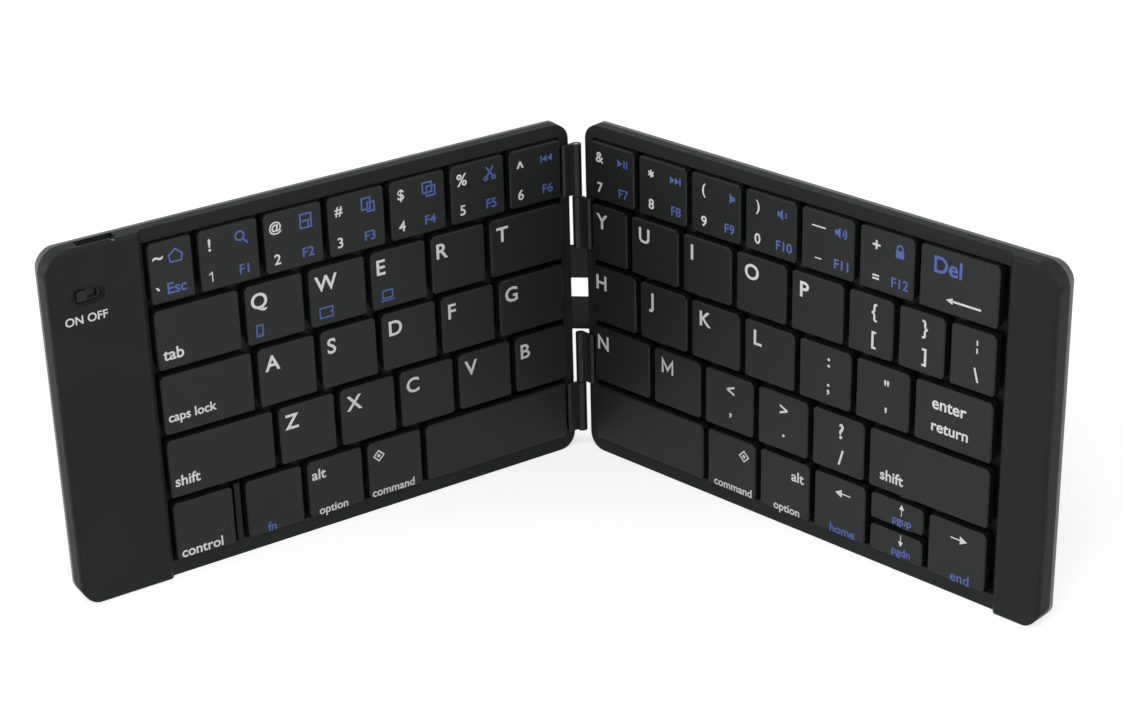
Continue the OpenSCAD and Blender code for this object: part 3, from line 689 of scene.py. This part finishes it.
def sleeve_route():
    """Points of the sleeve's middle line seen from above, from the left half to the right one: out of the
    case, round a soft bend and straight across behind the hinge."""
    middle = SLEEVE_DEPTH + SLEEVE_THICK / 2
    corner_u = HINGE_EDGE - SLEEVE_THICK / 2 * math.tan((math.pi / 2 - HALF_ANGLE) / 2)
    inside = on_half("left", SLEEVE_END, 0, middle).xy
    start = on_half("left", corner_u + BEND_REACH, 0, middle).xy
    corner = on_half("left", corner_u, 0, middle).xy
    end = corner + Vector((BEND_REACH * MM, 0))
    shares = [i / BEND_STEPS for i in range(BEND_STEPS + 1)]
    bend = [start * (1 - t) ** 2 + corner * 2 * t * (1 - t) + end * t ** 2 for t in shares]
    left = [inside] + bend
    return left + [Vector((0, corner.y))] + [Vector((-p.x, p.y)) for p in reversed(left)]


def sleeve_section():
    """Points round the sleeve: across its thickness, and up from its middle."""
    rounding = SLEEVE_THICK * SLEEVE_ROUNDING
    points = []
    for across, up, start in ((1, 1, 0), (-1, 1, 90), (-1, -1, 180), (1, -1, 270)):
        points += arc(across * (SLEEVE_THICK / 2 - rounding), up * (SLEEVE_WIDTH / 2 - rounding), rounding,
                      start, start + 90, ROUNDING_STEPS)
    return points


def make_sleeve(node, z, material):
    route = sleeve_route()
    section = sleeve_section()
    middle = z + SLEEVE_WIDTH / 2
    form = bmesh.new()
    loops = []
    for i, point in enumerate(route):
        along = (route[min(i + 1, len(route) - 1)] - route[max(i - 1, 0)]).normalized()
        side = Vector((-along.y, along.x))
        loops.append([form.verts.new((*(point + side * across * MM), (middle + up) * MM))
                      for across, up in section])
    for first, second in zip(loops, loops[1:]):
        for i in range(len(section)):
            j = (i + 1) % len(section)
            form.faces.new((first[i], first[j], second[j], second[i]))
    form.faces.new(loops[0])
    form.faces.new(list(reversed(loops[-1])))
    bmesh.ops.recalc_face_normals(form, faces=form.faces)
    mesh = new_mesh(node + "_sleeve", form)
    shade_smooth(mesh)
    mesh.set_sharp_from_angle(angle=math.radians(SLEEVE_CREASE))
    piece = new_piece(node + "_sleeve", mesh, material)
    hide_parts(node)
    start, end = (on_half(half, SLEEVE_END - HELD, z, SLEEVE_DEPTH) for half in SIDES)
    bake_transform(piece)
    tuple(start)
    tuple(end)


# ---------------------------------------------------------------- rows of small rods
ROD_SIDES = 10


def rod_row_tree():
    """Geometry nodes for a row of round rods: foot treads and socket contacts."""
    tree = bpy.data.node_groups.new("rod_row", "GeometryNodeTree")
    sockets = {}
    for name, kind, default in (("Count", "NodeSocketInt", 5), ("Pitch", "NodeSocketFloat", 0.001),
                                ("Length", "NodeSocketFloat", 0.003), ("Radius", "NodeSocketFloat", 0.0002),
                                ("Material", "NodeSocketMaterial", None)):
        socket = tree.interface.new_socket(name=name, in_out="INPUT", socket_type=kind)
        if default is not None:
            socket.default_value = default
        sockets[name] = socket.identifier
    tree.interface.new_socket(name="Geometry", in_out="OUTPUT", socket_type="NodeSocketGeometry")
    given = add(tree, "NodeGroupInput")
    half = add(tree, "ShaderNodeMath", {0: given.outputs["Length"], 1: 0.5}, operation="MULTIPLY")
    low = add(tree, "ShaderNodeMath", {0: half.outputs[0], 1: -1.0}, operation="MULTIPLY")
    start = add(tree, "ShaderNodeCombineXYZ", {"Y": low.outputs[0]})
    end = add(tree, "ShaderNodeCombineXYZ", {"Y": half.outputs[0]})
    line = add(tree, "GeometryNodeCurvePrimitiveLine", {"Start": start.outputs[0], "End": end.outputs[0]})
    circle = add(tree, "GeometryNodeCurvePrimitiveCircle", {
        "Resolution": ROD_SIDES, "Radius": given.outputs["Radius"]})
    rod = add(tree, "GeometryNodeCurveToMesh", {
        "Curve": line.outputs[0], "Profile Curve": circle.outputs[0], "Fill Caps": True})
    step = add(tree, "ShaderNodeCombineXYZ", {"X": given.outputs["Pitch"]})
    places = add(tree, "GeometryNodeMeshLine", {"Count": given.outputs["Count"], "Offset": step.outputs[0]})
    rods = add(tree, "GeometryNodeInstanceOnPoints", {
        "Points": places.outputs[0], "Instance": rod.outputs[0]})
    whole = add(tree, "GeometryNodeRealizeInstances", {"Geometry": rods.outputs[0]})
    named = add(tree, "GeometryNodeSetMaterial", {
        "Geometry": whole.outputs[0], "Material": given.outputs["Material"]})
    add(tree, "NodeGroupOutput", {"Geometry": named.outputs[0]})
    return tree, sockets


ROD_TREE = rod_row_tree()


def rod_rows(name, count, pitch, length, radius, places, material, body):
    """One mesh of several rod rows, with sizes in millimetres. Each place is a matrix from the row's own
    frame, with its middle at the origin."""
    tree, sockets = ROD_TREE
    holder = bpy.data.objects.new("rods", bpy.data.meshes.new("rods"))
    bpy.context.scene.collection.objects.link(holder)
    rule = holder.modifiers.new("rods", "NODES")
    rule.node_group = tree
    sizes = {"Count": count, "Pitch": pitch * MM, "Length": length * MM, "Radius": radius * MM}
    for label, value in {**sizes, "Material": material}.items():
        rule[sockets[label]] = value
    bpy.context.view_layer.update()
    row = bpy.data.meshes.new_from_object(holder.evaluated_get(bpy.context.evaluated_depsgraph_get()))
    bpy.data.objects.remove(holder)
    row.transform(Matrix.Translation((-(count - 1) * pitch * MM / 2, 0, 0)))
    form = bmesh.new()
    for place in places:
        copy = row.copy()
        copy.transform(place)
        form.from_mesh(copy)
        bpy.data.meshes.remove(copy)
    bmesh.ops.recalc_face_normals(form, faces=form.faces)
    mesh = new_mesh(name, form)
    shade_smooth(mesh)
    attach(new_piece(name, mesh, material), body)


def half_matrix(side, u, height, depth):
    """From a frame with x along the reading direction, y up and z out of the face, to a place on a half."""
    turn = Matrix((READING[side], UP, NORMAL[side])).transposed().to_4x4()
    return Matrix.Translation(on_half(side, u, height, depth)) @ turn


FOOT_LENGTH, FOOT_WIDTH, FOOT_THICK = 22, 4, 0.5
FOOT_START = 13.95          # from the hinge axis to the inner feet
FOOT_FROM_END, FOOT_FROM_EDGE = 10, 6
TREADS, TREAD_PITCH, TREAD_LENGTH, TREAD_RADIUS = 10, 1.9, 2.6, 0.2
TREAD_SUNK = 0.18           # how far a tread's middle lies below the foot's face


def foot_treads(materials):
    starts = (FOOT_START, OUTER_EDGE - FOOT_FROM_END - FOOT_LENGTH)
    heights = (FOOT_FROM_EDGE, CASE_HEIGHT - FOOT_FROM_EDGE - FOOT_WIDTH)
    depth = CASE_BACK + FOOT_THICK - TREAD_SUNK
    for side in SIDES:
        places = [half_matrix(side, u + FOOT_LENGTH / 2, height + FOOT_WIDTH / 2, depth)
                  for u in starts for height in heights]
        rod_rows(side + "_foot_treads", TREADS, TREAD_PITCH, TREAD_LENGTH, TREAD_RADIUS, places,
                 materials["foot_rubber"], side + "_half")


CONTACTS, CONTACT_PITCH, CONTACT_LENGTH, CONTACT_RADIUS = 5, 0.65, 2.4, 0.1
CONTACT_HEIGHT, CONTACT_DEPTH = 88.9, 2.75


def socket_contacts(materials):
    """Contacts on the tongue, just inside the mouth of the socket."""
    place = half_matrix("left", SOCKET_U, CONTACT_HEIGHT, CONTACT_DEPTH)
    rod_rows("socket_contacts", CONTACTS, CONTACT_PITCH, CONTACT_LENGTH, CONTACT_RADIUS, [place],
             materials["contact_gold"], "left_half")


# ---------------------------------------------------------------- stage, in metres
FILL = 0.09                 # strength of the light that comes from all round
FLOOR_REACH = 6.0
# The floor shines by itself where it is seen, less so under the keyboard, so that its shadow shows
GLOW_STARTS, GLOW_FULL = 0.2, 0.9
LEAST_GLOW = 0.62
# Name, place, width and power of each lamp
LAMPS = (
    ("left_softbox", (-1.5, -0.5, 0.5), 0.8, 12),
    ("right_softbox", (1.5, -0.5, 0.5), 0.8, 8.5),
    ("front_softbox", (0.0, -1.0, 1.2), 1.0, 9.0),
)
LAMP_AIM = Vector((0, 0, 0.05))


def background_rays(tree):
    """1 for rays that show the background: from the camera, mirrored, or through something clear."""
    path = add(tree, "ShaderNodeLightPath").outputs
    seen = add(tree, "ShaderNodeMath", {
        0: path["Is Camera Ray"], 1: path["Is Transmission Ray"]}, operation="MAXIMUM")
    return add(tree, "ShaderNodeMath", {
        0: seen.outputs[0], 1: path["Is Glossy Ray"]}, operation="MAXIMUM").outputs[0]


def make_world():
    world = bpy.data.worlds.new("studio")
    bpy.context.scene.world = world
    tree = empty_tree(world)
    soft = add(tree, "ShaderNodeBackground", {"Color": linear("#ffffff"), "Strength": FILL})
    plain = add(tree, "ShaderNodeBackground", {"Color": linear("#ffffff"), "Strength": 1.0})
    mixed = add(tree, "ShaderNodeMixShader", {
        0: background_rays(tree), 1: soft.outputs[0], 2: plain.outputs[0]})
    add(tree, "ShaderNodeOutputWorld", {"Surface": mixed.outputs[0]})


def make_floor():
    paper = bpy.data.materials.new("white_paper_floor")
    tree = empty_tree(paper)
    matte = add(tree, "ShaderNodeBsdfDiffuse", {"Color": linear("#f4f4f4")})
    place = add(tree, "ShaderNodeNewGeometry").outputs["Position"]
    distance = add(tree, "ShaderNodeVectorMath", {0: place}, operation="LENGTH")
    fade = add(tree, "ShaderNodeMapRange", {
        "Value": distance.outputs["Value"], "From Min": GLOW_STARTS, "From Max": GLOW_FULL,
        "To Min": LEAST_GLOW, "To Max": 1.0})
    strength = add(tree, "ShaderNodeMath", {
        0: background_rays(tree), 1: fade.outputs["Result"]}, operation="MULTIPLY")
    glow = add(tree, "ShaderNodeEmission", {"Color": linear("#ffffff"), "Strength": strength.outputs[0]})
    both = add(tree, "ShaderNodeAddShader", {0: matte.outputs[0], 1: glow.outputs[0]})
    add(tree, "ShaderNodeOutputMaterial", {"Surface": both.outputs[0]})
    mesh = bpy.data.meshes.new("floor")
    corners = [(x * FLOOR_REACH, y * FLOOR_REACH, 0) for x, y in ((-1, -1), (1, -1), (1, 1), (-1, 1))]
    mesh.from_pydata(corners, [], [(0, 1, 2, 3)])
    new_piece("floor", mesh, paper)


def make_lamps():
    for name, place, width, power in LAMPS:
        data = bpy.data.lights.new(name, "AREA")
        data.size = width
        data.energy = power
        lamp = bpy.data.objects.new(name, data)
        lamp.location = place
        lamp.rotation_mode = "QUATERNION"
        lamp.rotation_quaternion = (LAMP_AIM - Vector(place)).to_track_quat("-Z", "Y")
        bpy.context.scene.collection.objects.link(lamp)


# ---------------------------------------------------------------- the whole keyboard
def build():
    bpy.context.scene.view_settings.view_transform = "Standard"
    make_camera()
    materials = make_materials()
    for side in SIDES:
        dress(side + "_frame", materials["case_abs"], 0.12)
        dress(side + "_cover", materials["back_paint"], 0.12)
        dress(side + "_hinge_leaf", materials["hinge_coat"], 0.1)
        dress(side + "_feet", materials["foot_rubber"], 0.1)
        keep(side + "_key_plate", materials["plate_steel"])
        keep(side + "_membrane", materials["film"])
    for node in sorted(frame["nodes"]):
        if node.startswith("key"):
            dress(node, materials["key_abs"], 0.12)
    dress("power_switch", materials["switch_abs"], 0.05)
    keep("battery", materials["foil"])
    keep("circuit_board", materials["board"])
    keep("charging_port", materials["socket_steel"])
    keep("status_light", materials["lens"])
    for node in ("upper_hinge_pin", "lower_hinge_pin"):
        keep(node, materials["pin_steel"])
    for node, z in SLEEVES.items():
        make_sleeve(node, z, materials["sleeve"])
    make_domes(materials["silicone"])
    print_marks(materials)
    foot_treads(materials)
    socket_contacts(materials)
    make_world()
    make_floor()
    make_lamps()


build()
